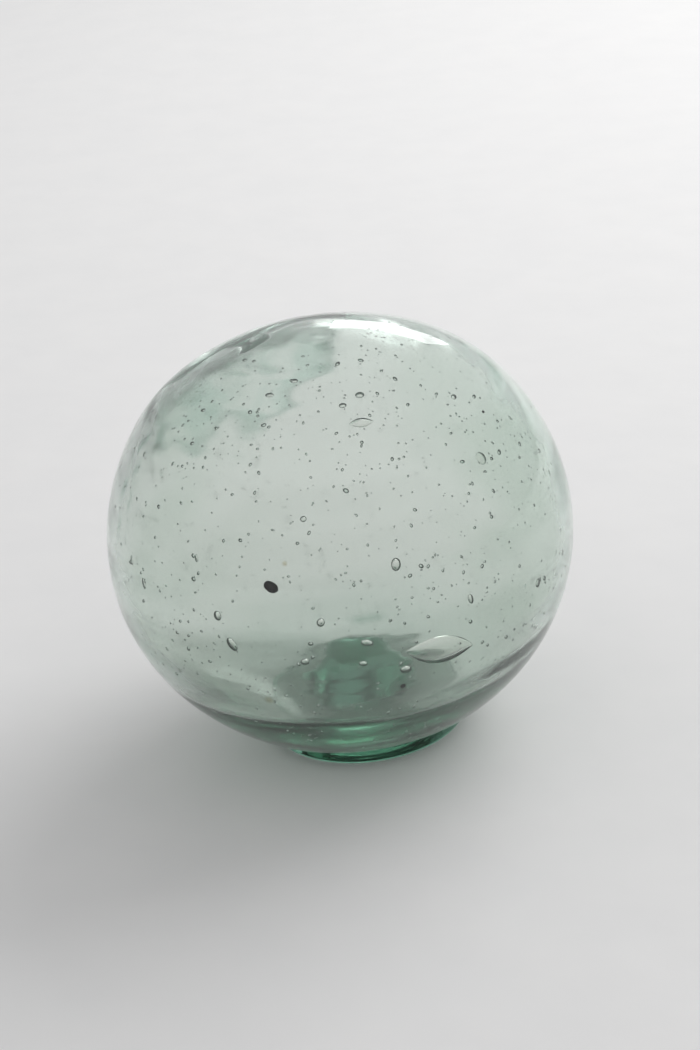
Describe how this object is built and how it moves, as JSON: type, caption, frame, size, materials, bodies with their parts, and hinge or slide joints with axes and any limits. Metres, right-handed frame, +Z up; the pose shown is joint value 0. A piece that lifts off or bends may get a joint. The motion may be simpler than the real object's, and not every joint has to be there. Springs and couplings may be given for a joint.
{
  "type": "glass float ball",
  "caption": "Hollow blown-glass float ball, slightly flattened, standing on the round glass seal button that closes its blowing hole.",
  "frame": {"origin": "middle of the ball's footprint, on the flat underside of the seal button that it stands on", "axes": "+Z up along the float's short axis, from the seal button to the crown; -Y is the front"},
  "size_m": [0.09, 0.09, 0.0828],
  "materials": {
    "float_glass": "clear pale sea-green blown glass, full of seed bubbles",
    "button_glass": "thick sea-green glass, deeper in colour than the ball",
    "black_stone": "opaque black specks of unmelted matter in the ball's glass"
  },
  "bodies": {
    "root": {"float_ball": "float_glass", "seal_button": "button_glass"}
  },
  "joints": []
}
